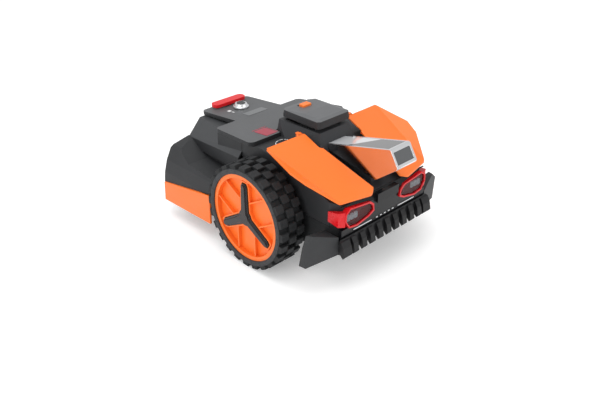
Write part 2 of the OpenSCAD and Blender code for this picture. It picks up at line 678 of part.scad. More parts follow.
// Foot of the camera head, screwed to the front cover between the hood panels.
module camera_bracket() {
    y0 = y_nose + 60;
    y1 = y_head - 36;
    hw = head_w / 2 - 11;
    color("#1d1f21") blob(both([
        [-hw, y0, cover_z(y0) + fit], [-hw, y1, cover_z(y1) + fit],
        [-hw, y0, head_under(y0) - fit], [-hw, y1, head_under(y1) - fit]]));
}

// ---- controls -----------------------------------------------------------------------

module stop_button() {
    zt = slab_top(y_stop);
    color("#e0262e") {
        translate([0, y_stop, zt + 4.5]) linear_extrude(9) round_rect(stop_l, 27, 12);
        translate([0, y_stop, zt - slab_t - 6]) cylinder(h = slab_t + 11, r = plunger_r);
    }
}

module select_knob() {
    zt = slab_top(y_knob - knob_r);
    color("#d9dadc") translate([0, y_knob, zt]) {
        translate([0, 0, 0.4]) cylinder(h = 4, r = knob_r + 2);
        translate([0, 0, 4.4]) cylinder(h = 7, r1 = knob_r, r2 = knob_r - 3);
        translate([0, 0, -slab_t - 8]) cylinder(h = slab_t + 8.5, r = knob_shaft_r);
    }
}

module on_slab(x, y) {
    translate([0, 0, z_slab0]) rotate([-slab_a, 0, 0]) translate([x, y, 0]) children();
}

module console_window() {
    color("#7d8184") on_slab(0, hl - 125) linear_extrude(0.6) round_rect(64, 26, 3);
}

module status_display() {
    color("#c23a4e") on_slab(-hatch_w / 2 - 34, 36) linear_extrude(0.6) round_rect(34, 46, 3);
}

// ---- drive --------------------------------------------------------------------------

// One row of tread lugs, whose tips lie on the rolling radius.
module lug_row(turn, w) {
    inner = wheel_r - lug_h;
    lug_l = wheel_r * 2 * PI / lug_count * 0.56;
    linear_extrude(w) intersection() {
        circle(r = wheel_r, $fn = 96);
        for (i = [0:lug_count - 1]) rotate(turn + i * 360 / lug_count)
            translate([inner - 3, -lug_l / 2]) square([lug_h + 8, lug_l]);
    }
}

// Places a wheel part drawn about +Z, from the wheel's inner face outwards, at its axle.
module at_wheel(s) {
    side(s) translate([-track_w / 2 + tyre_w, wheel_y, axle_z]) rotate([0, -90, 0]) rotate(-90) children();
}

module tyre(s) {
    pitch = 360 / lug_count;
    color("#303234") at_wheel(s) difference() {
        union() {
            lug_row(0, tyre_w * 0.3);
            translate([0, 0, tyre_w * 0.34]) lug_row(pitch / 2, tyre_w * 0.3);
            translate([0, 0, tyre_w * 0.68]) lug_row(0, tyre_w * 0.28);
            cylinder(h = tyre_w, r = wheel_r - lug_h, $fn = 96);
        }
        translate([0, 0, -1]) cylinder(h = tyre_w + 2, r = disc_r, $fn = 96);
    }
}

// Outline of the three-armed insert, grown by a margin.
module star_outline(grow) {
    circle(r = 20 + grow);
    for (a = [90, 210, 330]) rotate(a) polygon([
        [0, -13 - grow], [disc_r - 26, -10 - grow], [disc_r - 19 + grow, -6 - grow],
        [disc_r - 19 + grow, 6 + grow], [disc_r - 26, 10 + grow], [0, 13 + grow]]);
}

// Hub moulding: the barrel inside the tyre, the web and the boss on the shaft.
module wheel_rim(s) {
    color("#26282a") at_wheel(s) difference() {
        union() {
            difference() {
                cylinder(h = u_web + 4, r = disc_r, $fn = 96);
                translate([0, 0, -1]) cylinder(h = u_web + 6, r = disc_r - 5, $fn = 96);
            }
            translate([0, 0, u_web]) cylinder(h = 4, r = disc_r - 2, $fn = 96);
            translate([0, 0, -5]) cylinder(h = u_web + 6, r = 20);
        }
        translate([0, 0, -6]) cylinder(h = tyre_w, r = shaft_r);
    }
}

// Orange wheel disc: raised rim, a collar round the insert and two ribs between each pair
// of arms, parallel to the middle line between them.
module wheel_disc(s) {
    u0 = u_web + 4;
    ring_w = 10;
    color("#ff7a2c") at_wheel(s) difference() {
        union() {
            translate([0, 0, u0]) cylinder(h = 4, r = disc_r, $fn = 96);
            translate([0, 0, u0]) linear_extrude(16) difference() {
                circle(r = disc_r, $fn = 96);
                circle(r = disc_r - ring_w, $fn = 96);
            }
            translate([0, 0, u0]) linear_extrude(13) intersection() {
                circle(r = disc_r - 5, $fn = 96);
                union() {
                    difference() {
                        star_outline(4.5);
                        star_outline(1);
                    }
                    difference() {
                        for (a = [30, 150, 270]) rotate(a) for (m = [-1, 1])
                            translate([20, m * rib_off - 1.8]) square([disc_r - 20, 3.6]);
                        star_outline(2);
                    }
                }
            }
            translate([0, 0, u0]) cylinder(h = 10, r = 18);
        }
        translate([0, 0, u0 - 1]) cylinder(h = 8, r = shaft_r);
    }
}

// Black three-armed insert over the hub, with a ridge along each arm.
module wheel_star(s) {
    color("#1a1b1d") at_wheel(s) translate([0, 0, u_web + 14]) {
        linear_extrude(tyre_w - u_web - 18) star_outline(0);
        translate([0, 0, tyre_w - u_web - 18]) linear_extrude(3.6) {
            circle(r = 14);
            for (a = [90, 210, 330]) rotate(a) polygon([
                [0, -8], [disc_r - 26, -5.5], [disc_r - 22, -3],
                [disc_r - 22, 3], [disc_r - 26, 5.5], [0, 8]]);
        }
    }
}

module drive_shaft(s) {
    color("#b4b7ba") at_wheel(s) translate([0, 0, -60]) cylinder(h = tyre_w + 44, r = shaft_r);
}

module gearmotor(s) {
    color("#45484b") side(s) translate([0, wheel_y, axle_z]) difference() {
        union() {
            rod_x(32, -tub_hw + wall, -tub_hw + 52);
            rod_x(26, -tub_hw + 52, -tub_hw + 92);
            rod_x(18, -tub_hw - 6, -tub_hw + wall);
        }
        rod_x(shaft_r + fit, -tub_hw - 7, -tub_hw + 50);
    }
}

// Swivel fork with its pin, crown, two legs and axle pin.
module caster_fork(s) {
    zc = 2 * caster_r + 4;
    leg_x = caster_w / 2 + 1;
    color("#3c3f42") side(s) translate([-caster_x, y_caster, 0]) {
        translate([0, 0, zc]) linear_extrude(6) {
            circle(r = swivel_r + 9);
            translate([-leg_x - 4, 0]) square([2 * leg_x + 8, caster_trail + 10]);
        }
        translate([0, 0, zc + 6]) cylinder(h = z_rear_floor - 8 - gap - zc - 6, r = swivel_r + 4);
        translate([0, 0, zc + 5]) cylinder(h = z_rear_floor + 18 + gap - zc - 5, r = swivel_r);
        translate([0, 0, z_rear_floor + 18 + gap]) cylinder(h = 4, r = swivel_r + 4);
        for (m = [-1, 1]) translate([m * (leg_x + 2), 0, 0])
            along_x(-2, 2) polygon([[caster_trail - 10, zc + 1], [caster_trail + 10, zc + 1],
                [caster_trail + 8, caster_r - 8], [caster_trail - 8, caster_r - 8]]);
        translate([0, caster_trail, caster_r]) rod_x(4, -leg_x - 4, leg_x + 4);
    }
}

module caster_wheel(s) {
    color("#2a2c2e") side(s) translate([-caster_x, y_caster + caster_trail, caster_r]) rotate([0, 90, 0])
        rotate_extrude($fn = 72) polygon([
            [4 + fit, -caster_w / 2], [14, -caster_w / 2], [14, -caster_w / 2 + 3],
            [caster_r - 10, -caster_w / 2 + 3], [caster_r - 8, -caster_w / 2], [caster_r - 3, -caster_w / 2],
            [caster_r, -caster_w / 2 + 4], [caster_r, caster_w / 2 - 4], [caster_r - 3, caster_w / 2],
            [caster_r - 8, caster_w / 2], [caster_r - 10, caster_w / 2 - 3], [14, caster_w / 2 - 3],
            [14, caster_w / 2], [4 + fit, caster_w / 2]]);
}

// ---- cutting unit -------------------------------------------------------------------

module lift_posts() {
    color("#b4b7ba") for (sx = [-1, 1], sy = [-1, 1])
        translate([sx * post_x, cut_y + sy * post_y, z_floor + wall]) cylinder(h = 104, r = post_r);
}

module lift_drive() {
    color("#4a4d50") translate([0, cut_y + screw_y, z_floor + wall]) {
        cylinder(h = 22, r = 6);
        cylinder(h = 96, r = screw_r);
    }
}

module lift_carriage() {
    color("#2f3234") translate([0, cut_y, z_carriage]) linear_extrude(6) difference() {
        union() {
            round_rect(2 * post_x + 20, 2 * post_y + 20, 8);
            translate([0, screw_y - 8]) round_rect(20, 28, 5);
        }
        circle(r = 32);
        for (sx = [-1, 1], sy = [-1, 1]) translate([sx * post_x, sy * post_y]) circle(r = post_r + fit);
        translate([0, screw_y]) circle(r = screw_r + gap);
    }
}

module cutter_motor() {
    color("#54575a") translate([0, cut_y, 0]) difference() {
        union() {
            translate([0, 0, z_floor + 14]) cylinder(h = z_carriage - z_floor + 4, r = 32);
            translate([0, 0, z_carriage + 6]) cylinder(h = 4, r = 35);
        }
        translate([0, 0, z_floor]) cylinder(h = 44, r = spindle_r + fit);
    }
}

module cutting_disc() {
    color("#9a9da0") translate([0, cut_y, 0]) {
        translate([0, 0, cut_h + 2]) cylinder(h = 3, r = cut_disc_r, $fn = 96);
        translate([0, 0, cut_h + 5]) cylinder(h = 7, r = 15);
        translate([0, 0, cut_h - 12]) cylinder(h = z_floor + 42 - cut_h + 12, r = spindle_r);
        translate([0, 0, cut_h - 4.7]) cylinder(h = 6.7, r = spindle_r + 4);
        translate([0, 0, cut_h - 12]) cylinder(h = 3.7, r = spindle_r + 4);
        for (a = [90, 210, 330]) rotate(a) translate([cut_disc_r - 10, 0, 0]) {
            translate([0, 0, cut_h - 1.4]) cylinder(h = 4, r = blade_pin_r);
            translate([0, 0, cut_h - 3.4]) cylinder(h = 2, r = blade_pin_r + 2.5);
        }
    }
}

module blade(a) {
    color("#d0d3d6") translate([0, cut_y, cut_h - 1]) rotate(a) translate([cut_disc_r - 10, 0, 0])
        linear_extrude(1.2) difference() {
            polygon([[-8, -9], [26, -9], [30, -5], [30, 5], [26, 9], [-8, 9]]);
            circle(r = blade_pin_r + fit);
        }
}

// Skid plate that turns freely under the disc.
module skid_plate() {
    color("#3a3d40") translate([0, cut_y, cut_h - 8]) difference() {
        cylinder(h = 3, r = cut_disc_r - 22);
        translate([0, 0, -1]) cylinder(h = 5, r = spindle_r + fit);
    }
}

chassis_tub();
rear_body();
upper_body();
front_cover();
top_slab();
side_skirt(-1);  // side_skirt_r
side_skirt(1);  // side_skirt_l
rear_bumper();
charge_contacts();
hatch_base();
battery_hatch();
hatch_latch();
battery_pack();
main_board();
hood(-1);  // hood_r
hood(1);  // hood_l
front_fascia();
lamp_housing(-1);  // lamp_housing_r
lamp_housing(1);  // lamp_housing_l
lamp_lens(-1);  // lamp_lens_r
lamp_lens(1);  // lamp_lens_l
lamp_leds();
trim_line();
finger_guard();
corner_guard(-1);  // corner_guard_r
corner_guard(1);  // corner_guard_l
camera_shell();
camera_glass();
camera_window();
camera_modules();
camera_bracket();
stop_button();
select_knob();
console_window();
status_display();
tyre(-1);  // tyre_r
tyre(1);  // tyre_l
wheel_rim(-1);  // wheel_rim_r
wheel_rim(1);  // wheel_rim_l
wheel_disc(-1);  // wheel_disc_r
wheel_disc(1);  // wheel_disc_l
wheel_star(-1);  // wheel_star_r
wheel_star(1);  // wheel_star_l
drive_shaft(-1);  // drive_shaft_r
drive_shaft(1);  // drive_shaft_l
gearmotor(-1);  // gearmotor_r
gearmotor(1);  // gearmotor_l
caster_fork(-1);  // caster_fork_r
caster_fork(1);  // caster_fork_l
caster_wheel(-1);  // caster_wheel_r
caster_wheel(1);  // caster_wheel_l
lift_posts();
lift_drive();
lift_carriage();
cutter_motor();
cutting_disc();
blade(90);  // blade_a
blade(210);  // blade_b
blade(330);  // blade_c
skid_plate();
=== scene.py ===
import json
import math

import bmesh
import bpy
import numpy as np
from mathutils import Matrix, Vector

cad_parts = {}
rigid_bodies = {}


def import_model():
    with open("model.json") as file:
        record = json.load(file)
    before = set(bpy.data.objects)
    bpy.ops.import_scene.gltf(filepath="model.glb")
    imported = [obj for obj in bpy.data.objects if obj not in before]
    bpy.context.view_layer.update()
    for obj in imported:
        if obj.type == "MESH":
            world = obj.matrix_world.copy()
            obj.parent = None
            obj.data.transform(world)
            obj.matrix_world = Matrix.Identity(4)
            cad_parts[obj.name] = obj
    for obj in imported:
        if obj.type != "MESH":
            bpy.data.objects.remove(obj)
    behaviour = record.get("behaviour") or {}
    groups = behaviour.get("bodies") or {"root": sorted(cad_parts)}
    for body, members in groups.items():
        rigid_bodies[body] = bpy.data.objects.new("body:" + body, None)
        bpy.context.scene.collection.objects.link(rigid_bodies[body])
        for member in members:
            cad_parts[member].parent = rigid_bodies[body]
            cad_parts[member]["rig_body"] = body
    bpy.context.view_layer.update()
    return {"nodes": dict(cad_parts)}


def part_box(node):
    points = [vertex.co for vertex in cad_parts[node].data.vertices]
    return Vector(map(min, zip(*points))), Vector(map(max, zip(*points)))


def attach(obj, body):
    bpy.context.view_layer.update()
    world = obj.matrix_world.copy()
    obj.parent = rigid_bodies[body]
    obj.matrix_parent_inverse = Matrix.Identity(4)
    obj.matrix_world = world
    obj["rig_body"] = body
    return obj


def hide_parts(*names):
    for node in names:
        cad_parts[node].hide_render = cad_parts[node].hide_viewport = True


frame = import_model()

# ---- Studio --------------------------------------------------------------------------
# A white floor that runs out of view, a broad soft box overhead, one on the right and one
# in front, and the camera off the machine's front right-hand corner, a little above it.

scene = bpy.context.scene
scene.view_settings.view_transform = "Standard"


def surface(name, points, wrap_u=False, wrap_v=False):
    """A mesh over an array of points (rows u, columns v): one four-sided face between
    each pair of neighbouring rows and columns, joined up where a direction wraps."""
    nu, nv = points.shape[:2]
    ru = np.arange(nu if wrap_u else nu - 1)
    rv = np.arange(nv if wrap_v else nv - 1)
    u, v = np.meshgrid(ru, rv, indexing="ij")
    un, vn = (u + 1) % nu, (v + 1) % nv
    quads = np.stack([u * nv + v, un * nv + v, un * nv + vn, u * nv + vn], -1).reshape(-1, 4)
    flat = points.reshape(-1, 3)
    a, b, c = flat[quads[:, 0]], flat[quads[:, 1]], flat[quads[:, 2]]
    if np.einsum("ij,ij->i", a, np.cross(b, c)).sum() < 0:
        quads = quads[:, ::-1]
    mesh = bpy.data.meshes.new(name)
    mesh.from_pydata(flat.tolist(), [], quads.tolist())
    obj = bpy.data.objects.new(name, mesh)
    scene.collection.objects.link(obj)
    return obj


floor_reach = 30.0
corners = np.array([-floor_reach, floor_reach])
fx, fy = np.meshgrid(corners, corners, indexing="ij")
floor_drop = 0.0004
floor = surface("floor", np.stack([fx, fy, 0 * fx - floor_drop], -1))
floor_paint = bpy.data.materials.new("floor_paint")
floor_paint.use_nodes = True
floor_shader = floor_paint.node_tree.nodes["Principled BSDF"]
floor_shader.inputs["Base Color"].default_value = (0.90, 0.90, 0.90, 1)
floor_shader.inputs["Emission Color"].default_value = (1, 1, 1, 1)
floor_shader.inputs["Emission Strength"].default_value = 0.24
floor_shader.inputs["Roughness"].default_value = 0.9
floor_shader.inputs["Specular IOR Level"].default_value = 0.1
floor.data.materials.append(floor_paint)

world = bpy.data.worlds.new("studio")
scene.world = world
world.use_nodes = True
world.node_tree.nodes["Background"].inputs["Color"].default_value = (1, 1, 1, 1)
world.node_tree.nodes["Background"].inputs["Strength"].default_value = 0.80


def soft_box(name, place, aim, width, height, power):
    """A rectangular lamp at a place, turned so that it shines at a point."""
    light = bpy.data.lights.new(name, "AREA")
    light.shape = "RECTANGLE"
    light.size, light.size_y, light.energy = width, height, power
    lamp = bpy.data.objects.new(name, light)
    scene.collection.objects.link(lamp)
    lamp.location = place
    lamp.rotation_euler = (Vector(aim) - Vector(place)).to_track_quat("-Z", "Y").to_euler()


soft_box("box_overhead", (-0.3, 0.2, 2.4), (0, 0, 0.2), 2.2, 1.8, 26)
soft_box("box_right", (-2.4, -0.4, 1.3), (0, 0, 0.15), 1.4, 1.2, 16)
soft_box("box_front", (0.9, -2.5, 1.3), (0, 0, 0.15), 1.6, 0.9, 11)

camera = bpy.data.objects.new("camera", bpy.data.cameras.new("camera"))
scene.collection.objects.link(camera)
turn, rise, reach = math.radians(-44.59), math.radians(29.12), 1.87447
back = Vector((math.sin(turn) * math.cos(rise), -math.cos(turn) * math.cos(rise), math.sin(rise)))
look_at = Vector((0, 0.00855, 0.06138))
camera.location = look_at + back * reach
camera.rotation_mode = "QUATERNION"
camera.rotation_quaternion = (-back).to_track_quat("-Z", "Y")
camera.data.sensor_width = 36
camera.data.lens = 44.186
scene.camera = camera


# ---- Tub and covers ------------------------------------------------------------------
# The black tub, the covers over it, the console slab and the rear bumper are injection
# mouldings with a spark-eroded grain. The skirts on the flanks are glossy orange mouldings,
# and two brass charging plates are let into the bumper.

class Signal:
    """A number that changes over a surface. Arithmetic on it adds Math nodes."""

    def __init__(self, finish, socket):
        self.finish, self.socket = finish, socket

    def combine(self, kind, first, second):
        return self.finish.node("ShaderNodeMath", {"operation": kind}, {0: first, 1: second})

    def __add__(self, other):
        return self.combine("ADD", self, other)

    def __radd__(self, other):
        return self.combine("ADD", other, self)

    def __sub__(self, other):
        return self.combine("SUBTRACT", self, other)

    def __rsub__(self, other):
        return self.combine("SUBTRACT", other, self)

    def __mul__(self, other):
        return self.combine("MULTIPLY", self, other)

    def __rmul__(self, other):
        return self.combine("MULTIPLY", other, self)

    def __pow__(self, other):
        return self.combine("POWER", self, other)


class Finish:
    """A material built node by node. Constants go straight on the shader's sockets, and what
    varies is worked out from the place on the piece, so it stays put when the piece moves."""

    def __init__(self, name, **constants):
        self.material = bpy.data.materials.new(name)
        self.material.use_nodes = True
        self.tree = self.material.node_tree
        self.shader = self.tree.nodes["Principled BSDF"]
        for key, value in constants.items():
            self.shader.inputs[key.replace("_", " ")].default_value = value
        self.place = self.node("ShaderNodeTexCoord", out="Object")

    def node(self, kind, settings=None, wired=None, out=0):
        """Adds a node: its settings, then its sockets' values or links. Gives one output."""
        made = self.tree.nodes.new(kind)
        for key, value in (settings or {}).items():
            setattr(made, key, value)
        for key, value in (wired or {}).items():
            if isinstance(value, Signal):
                self.tree.links.new(value.socket, made.inputs[key])
            else:
                made.inputs[key].default_value = value
        return Signal(self, made.outputs[out])

    def cloud(self, scale, detail=3.0, roughness=0.5, where=None):
        """Fractal noise from 0 to 1 with features about 1/scale metres across."""
        return self.node("ShaderNodeTexNoise", {}, {
            "Vector": where or self.place, "Scale": scale, "Detail": detail,
            "Roughness": roughness}, "Fac")

    def cells(self, scale, feature="F1"):
        """Distance to the nearest of scattered points, 1/scale metres apart."""
        return self.node("ShaderNodeTexVoronoi", {"feature": feature}, {
            "Vector": self.place, "Scale": scale}, "Distance")

    def stretched(self, **mapping):
        """The place on the piece, turned or scaled before a texture reads it."""
        return self.node("ShaderNodeMapping", {}, {"Vector": self.place, **mapping})

    def blend(self, share, first, second):
        """Mixes two colours by a share from 0 to 1."""
        wired = {0: share}
        for slot_index, shade in ((6, first), (7, second)):
            wired[slot_index] = shade if isinstance(shade, Signal) else (*shade, 1)
        return self.node("ShaderNodeMix", {"data_type": "RGBA", "clamp_factor": True}, wired, 2)

    def axis(self, index):
        """One coordinate of the place: 0 across, 1 along, 2 up."""
        return self.node("ShaderNodeSeparateXYZ", {}, {0: self.place}, index)

    def steps(self, signal, low, high):
        """Rises smoothly from 0 to 1 between two values."""
        return self.node("ShaderNodeMapRange", {"interpolation_type": "SMOOTHSTEP"}, {
            "Value": signal, "From Min": low, "From Max": high})

    def bump(self, height, depth):
        """Tilts the surface as if it stood up by the height times the depth in metres."""
        return self.node("ShaderNodeBump", {}, {
            "Height": height, "Distance": depth, "Strength": 1.0}, "Normal")

    def set(self, **links):
        for key, signal in links.items():
            self.tree.links.new(signal.socket, self.shader.inputs[key.replace("_", " ")])


def moulded(name, shade, rough, grain=700.0, depth=0.00012, mottle=0.16, dust=0.22, **constants):
    """Moulded plastic: a fine pebbled grain, cloudy colour of a few percent, faint rubbed
    patches where the grain is worn smoother, and a little dust near the ground."""
    f = Finish(name, **{"Specular_IOR_Level": 0.26, **constants})
    cloudy = f.cloud(18, 4, 0.6)
    fine = f.cloud(grain * 0.35, 2, 0.6)
    pebbles = f.cells(grain)
    darker = tuple(c * (1 - mottle) for c in shade)
    lighter = tuple(min(1.0, c * (1 + mottle) + 0.002) for c in shade)
    tone = f.blend(0.65 * cloudy + 0.35 * fine, darker, lighter)
    rubbed = f.steps(f.cloud(7, 5, 0.65), 0.56, 0.74)
    low_dust = f.steps(f.axis(2), 0.11, 0.0) * f.steps(f.cloud(60, 5, 0.7), 0.42, 0.7)
    tone = f.blend(dust * low_dust, tone, (0.16, 0.15, 0.13))
    f.set(Base_Color=tone,
          Roughness=rough - 0.1 * rubbed + 0.08 * (fine - 0.5) + 0.15 * low_dust,
          Normal=f.bump(0.7 * pebbles + 0.6 * fine, depth))
    return f


def lacquered(name, shade, rough, ripple=0.00006, **constants):
    """Glossy moulded plastic: an even colour with faint flow marks, a very shallow ripple,
    hair scratches and slightly duller patches where hands have been."""
    f = Finish(name, **{"Specular_IOR_Level": 0.36, **constants})
    flow = f.cloud(9, 3, 0.5)
    speck = f.cloud(420, 2, 0.5)
    streaks = f.stretched(Rotation=(0.3, 0.2, 0.7), Scale=(30, 900, 500))
    hairs = f.steps(f.cloud(1.0, 2, 0.5, streaks), 0.72, 0.78)
    dull = f.steps(f.cloud(14, 4, 0.6), 0.5, 0.72)
    tone = f.blend(0.7 * flow + 0.3 * speck, tuple(c * 0.93 for c in shade),
                   tuple(min(1.0, c * 1.07 + 0.002) for c in shade))
    f.set(Base_Color=f.blend(0.12 * hairs, tone, tuple(min(1.0, c * 1.3 + 0.06) for c in shade)),
          Roughness=rough + 0.09 * dull + 0.1 * hairs,
          Normal=f.bump(flow + 0.25 * speck - 0.15 * hairs, ripple))
    return f


def body_of(node):
    return frame["nodes"][node]["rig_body"]


same_point = 2e-6
flat_bend = math.radians(0.6)


def rounded(node, name, finish, radius, parts=3, corner=9, shaded_side_finish=None, steep=0.62):
    """The node's own solid with its facets merged into faces, and each edge sharper than
    the corner angle in degrees rounded off by the small radius that a mould leaves. A second,
    darker finish, painted shade, goes on each face whose normal's upward part is less than
    the steep value."""
    mesh = frame["nodes"][node].data.copy()
    mesh.name = name
    shape = bmesh.new()
    shape.from_mesh(mesh)
    bmesh.ops.remove_doubles(shape, verts=shape.verts, dist=same_point)
    bmesh.ops.dissolve_degenerate(shape, dist=same_point, edges=shape.edges)
    bmesh.ops.dissolve_limit(shape, angle_limit=flat_bend, verts=shape.verts, edges=shape.edges)
    shape.to_mesh(mesh)
    shape.free()
    mesh.materials.clear()
    mesh.materials.append(finish.material)
    if shaded_side_finish:
        mesh.materials.append(shaded_side_finish.material)
        tilt = np.zeros(3 * len(mesh.polygons))
        mesh.polygons.foreach_get("normal", tilt)
        mesh.polygons.foreach_set("material_index", (tilt[2::3] < steep).astype(np.int32))
    mesh.shade_smooth()
    mesh.set_sharp_from_angle(angle=math.radians(corner))
    obj = bpy.data.objects.new(name, mesh)
    scene.collection.objects.link(obj)
    if radius:
        edge = obj.modifiers.new("edges", "BEVEL")
        edge.width, edge.segments, edge.limit_method = radius, parts, "ANGLE"
        edge.angle_limit = math.radians(corner)
        edge.harden_normals = True
        edge.miter_outer = "MITER_ARC"
    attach(obj, body_of(node))
    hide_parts(node)
    return obj


sides = (("right", "r"), ("left", "l"))
mm = 0.001

tub_finish = moulded("tub_black", (0.013, 0.014, 0.015), 0.62)
rounded("chassis_tub", "tub", tub_finish, 0.0012)
rear_finish = moulded("rear_grey_black", (0.027, 0.028, 0.030), 0.55, grain=560.0)
rounded("rear_body", "rear_panels", rear_finish, 0.0020)
flank_finish = moulded("flank_grey", (0.046, 0.048, 0.051), 0.52, grain=620.0)
# Painted shade: the flanks' steep and downward faces get this darker copy of their grey plastic,
# standing in for the shade that falls on them.
flank_shaded_side_finish = moulded("flank_side_painted_shade", (0.020, 0.021, 0.023), 0.52, grain=620.0)
rounded("upper_body", "flanks", flank_finish, 0.0024,
        shaded_side_finish=flank_shaded_side_finish, steep=0.12)
cover_finish = moulded("cover_black", (0.022, 0.023, 0.025), 0.5, grain=640.0)
rounded("front_cover", "front_cover_shell", cover_finish, 0.0018)
slab_finish = moulded("slab_grey", (0.088, 0.091, 0.095), 0.46, grain=820.0, depth=0.00008)
# Painted shade: the slab's steep sides get this darker copy of its grey plastic, standing in for
# the shade on them.
slab_shaded_side_finish = moulded("slab_edge_painted_shade", (0.020, 0.021, 0.023), 0.5, grain=700.0)
rounded("top_slab", "console_slab", slab_finish, 0.0022, corner=17,
        shaded_side_finish=slab_shaded_side_finish)
skirt_finish = lacquered("skirt_orange", (0.86, 0.160, 0.015), 0.36)
bumper_finish = moulded("bumper_black", (0.016, 0.017, 0.018), 0.66, grain=500.0)
rounded("rear_bumper", "bumper", bumper_finish, 0.0016)
for side, tail in sides:
    rounded("side_skirt_" + tail, "skirt_" + side, skirt_finish, 0.0014)

contact_finish = Finish("contact_brass", Metallic=1.0)
worn = contact_finish.steps(contact_finish.cloud(90, 5, 0.7), 0.45, 0.7)
contact_finish.set(Base_Color=contact_finish.blend(worn, (0.55, 0.40, 0.18), (0.72, 0.60, 0.36)),
                   Roughness=0.22 + 0.25 * worn,
                   Normal=contact_finish.bump(contact_finish.cloud(700), 0.00004))
rounded("charge_contacts", "charging_plates", contact_finish, 0.0006)


# ---- Battery hatch -------------------------------------------------------------------
# A flared base moulded in grained plastic stands on the deck. The creased lid turns on a
# pin at its front edge and the sliding orange latch holds its rear edge. The battery stands
# in the bay below, and the control board lies under the front cover.

base_finish = moulded("base_dark_grey", (0.030, 0.031, 0.034), 0.5, grain=640.0)
rounded("hatch_base", "hatch_surround", base_finish, 0.0020)
lid_finish = moulded("lid_grey", (0.112, 0.115, 0.120), 0.44, grain=820.0, depth=0.00008)
# Painted shade: the lid's steep sides get this darker copy of its grey plastic, standing in for the
# shade on them.
lid_shaded_side_finish = moulded("lid_edge_painted_shade", (0.024, 0.025, 0.027), 0.5, grain=700.0)
rounded("battery_hatch", "hatch_lid", lid_finish, 0.0022, shaded_side_finish=lid_shaded_side_finish)
latch_finish = lacquered("latch_orange", (0.88, 0.190, 0.030), 0.38)
rounded("hatch_latch", "latch_slide", latch_finish, 0.0016)
case_finish = moulded("battery_case", (0.030, 0.031, 0.034), 0.5, grain=900.0)
rounded("battery_pack", "battery", case_finish, 0.0015)

board_finish = Finish("circuit_board")
tracks = board_finish.cells(260, "DISTANCE_TO_EDGE")
copper = board_finish.steps(tracks, 0.09, 0.05)
board_finish.set(Base_Color=board_finish.blend(copper, (0.012, 0.09, 0.035), (0.03, 0.17, 0.07)),
                 Roughness=0.32 + 0.2 * board_finish.cloud(200),
                 Normal=board_finish.bump(copper, 0.00003))
rounded("main_board", "control_board", board_finish, 0.0)


# ---- Hood panels ---------------------------------------------------------------------
# Two folded panels moulded in glossy orange plastic and carried on posts above the front
# cover, each with a tab at its rear inner corner.

hood_finish = lacquered("hood_orange", (0.86, 0.165, 0.016), 0.32)
corner_radius, edge_radius = 8 * mm, 1.2 * mm
panel_thick = 7 * mm
crease_bend, corner_bend = math.radians(9), math.radians(24)


def round_corners(obj, radius, small):
    """Weighs the bevel edge by edge: an upright edge at a corner of the panel's outline gets
    the corner radius, and every other edge sharper than a crease the small radius."""
    shape = bmesh.new()
    shape.from_mesh(obj.data)
    weight = shape.edges.layers.float.new("bevel_weight_edge")
    for edge in shape.edges:
        if len(edge.link_faces) != 2:
            continue
        bend = edge.calc_face_angle(0.0)
        run = edge.verts[1].co - edge.verts[0].co
        upright = abs(run.z) > 0.98 * run.length and run.length < panel_thick
        if bend > crease_bend:
            edge[weight] = 1.0 if upright and bend > corner_bend else small / radius
    shape.to_mesh(obj.data)
    shape.free()
    bevel = obj.modifiers["edges"]
    bevel.limit_method, bevel.width, bevel.segments = "WEIGHT", radius, 5
    bevel.use_clamp_overlap = False


for side, tail in sides:
    panel = rounded("hood_" + tail, "hood_" + side, hood_finish, 0.0018)
    round_corners(panel, corner_radius, edge_radius)


# ---- Nose ----------------------------------------------------------------------------
# The gloss black fascia carries the red lamp housings with their dark-tinted lenses and a
# bright metal trim line. Under it are the finger guard's teeth and the guards at the
# corners, all moulded in grained plastic.

gloss_finish = lacquered("fascia_gloss", (0.005, 0.005, 0.006), 0.24, Specular_IOR_Level=0.22)
rounded("front_fascia", "fascia", gloss_finish, 0.0012)
red_finish = lacquered("lamp_red", (0.60, 0.005, 0.010), 0.26)
lens_finish = lacquered("lamp_lens", (0.006, 0.007, 0.008), 0.12, Specular_IOR_Level=0.3,
                        Alpha=0.45)
for side, tail in sides:
    rounded("lamp_housing_" + tail, "lamp_ring_" + side, red_finish, 0.0009)
    rounded("lamp_lens_" + tail, "lamp_glass_" + side, lens_finish, 0.0005)

led_finish = Finish("led_white", Emission_Strength=0.5)
facets = led_finish.cells(420)
led_finish.set(Base_Color=led_finish.blend(facets, (0.55, 0.58, 0.62), (0.9, 0.92, 0.95)),
               Emission_Color=led_finish.blend(facets, (0.35, 0.38, 0.42), (0.8, 0.85, 0.9)),
               Roughness=0.15 + 0.3 * facets,
               Normal=led_finish.bump(facets, 0.0003))
rounded("lamp_leds", "led_blocks", led_finish, 0.0006)

trim_finish = Finish("bright_trim", Metallic=1.0)
brushed = trim_finish.cloud(1.0, 3, 0.6, trim_finish.stretched(Scale=(60, 900, 1400)))
trim_finish.set(Base_Color=trim_finish.blend(brushed, (0.62, 0.63, 0.65), (0.85, 0.86, 0.87)),
                Roughness=0.18 + 0.22 * brushed, Normal=trim_finish.bump(brushed, 0.00003))
rounded("trim_line", "trim_strip", trim_finish, 0.0003)

rake_finish = moulded("guard_black", (0.007, 0.007, 0.008), 0.45, grain=520.0)
rounded("finger_guard", "teeth", rake_finish, 0.0016)
corner_finish = moulded("corner_grey", (0.030, 0.031, 0.033), 0.55, grain=520.0)
for side, tail in sides:
    rounded("corner_guard_" + tail, "corner_shield_" + side, corner_finish, 0.0018)
